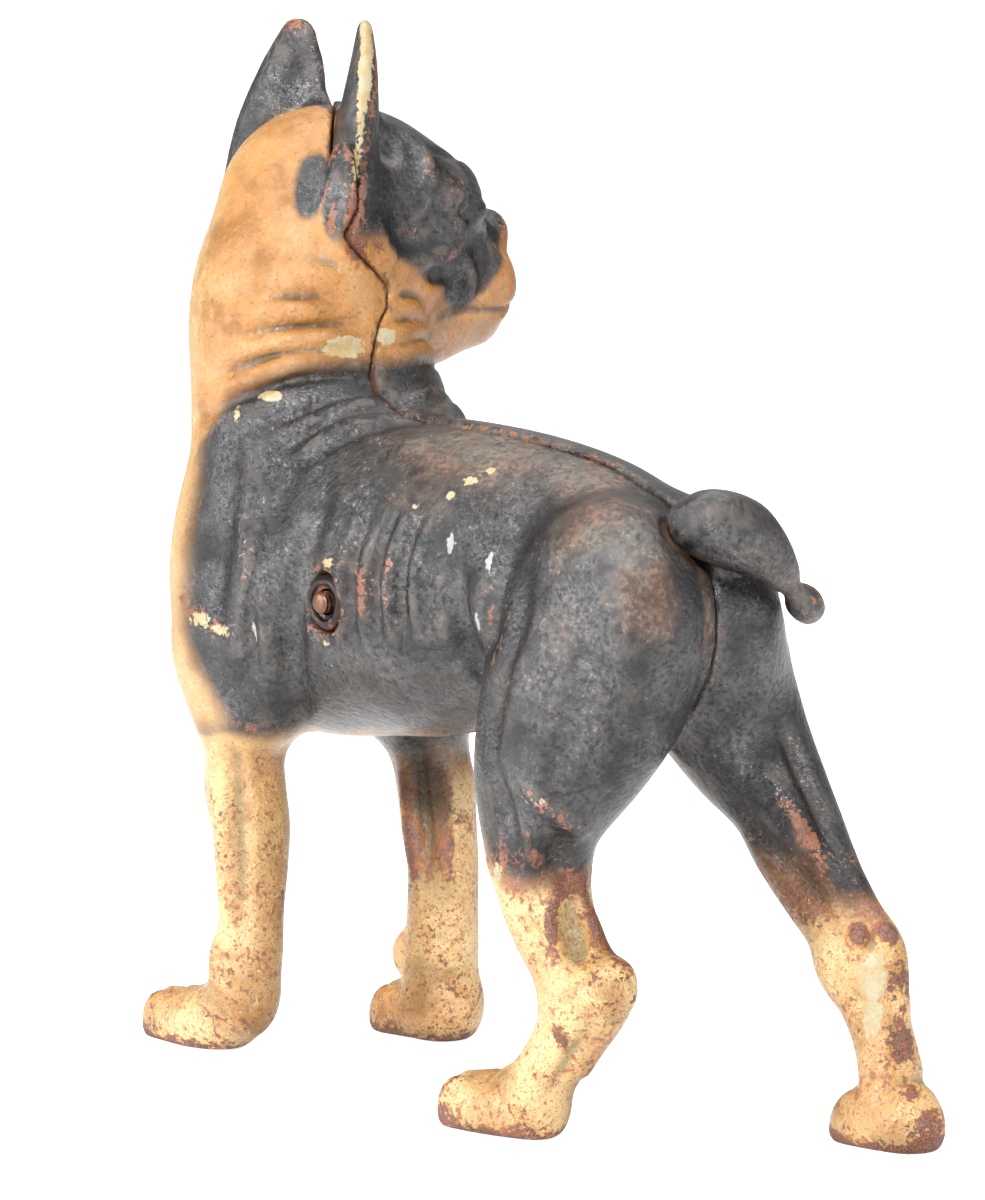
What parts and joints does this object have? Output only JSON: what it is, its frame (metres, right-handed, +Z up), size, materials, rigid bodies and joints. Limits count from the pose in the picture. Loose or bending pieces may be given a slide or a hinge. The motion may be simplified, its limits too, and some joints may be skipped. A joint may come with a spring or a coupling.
{
  "type": "cast iron still bank",
  "caption": "Hollow cast iron coin bank shaped as a standing dog looking back over its shoulder, in two half shells held by a through screw.",
  "frame": {"origin": "centre of the whole bank's bounding box at the level of the soles", "axes": "+X the way the dog's body faces, +Y to the dog's left, +Z up"},
  "size_m": [0.12, 0.0548, 0.1324],
  "materials": {
    "right_shell_paint": "worn airbrushed black, orange-tan and cream enamel over sand-cast iron, chipped to brown rust",
    "left_shell_paint": "worn airbrushed black, orange-tan and cream enamel over sand-cast iron, chipped to brown rust",
    "screw_steel": "dull steel with brown tarnish",
    "nut_steel": "rusted steel with rests of paint"
  },
  "bodies": {
    "right_shell": {"right_half": "right_shell_paint"},
    "left_shell": {"left_half": "left_shell_paint"},
    "screw": {"clamp_screw": "screw_steel"},
    "nut": {"round_nut": "nut_steel"}
  },
  "joints": [
    {"name": "halves_part", "type": "slide", "parent": "right_shell", "child": "left_shell", "axis": [0, 1, 0], "range_m": [0, 0.045]},
    {"name": "screw_draw", "type": "slide", "parent": "right_shell", "child": "screw", "axis": [0, -1, 0], "range_m": [0, 0.045]},
    {"name": "nut_turn", "type": "hinge", "parent": "left_shell", "child": "nut", "pos_m": [0.01585, 0.0216, 0.061], "axis": [0, 1, 0], "continuous": true}
  ]
}
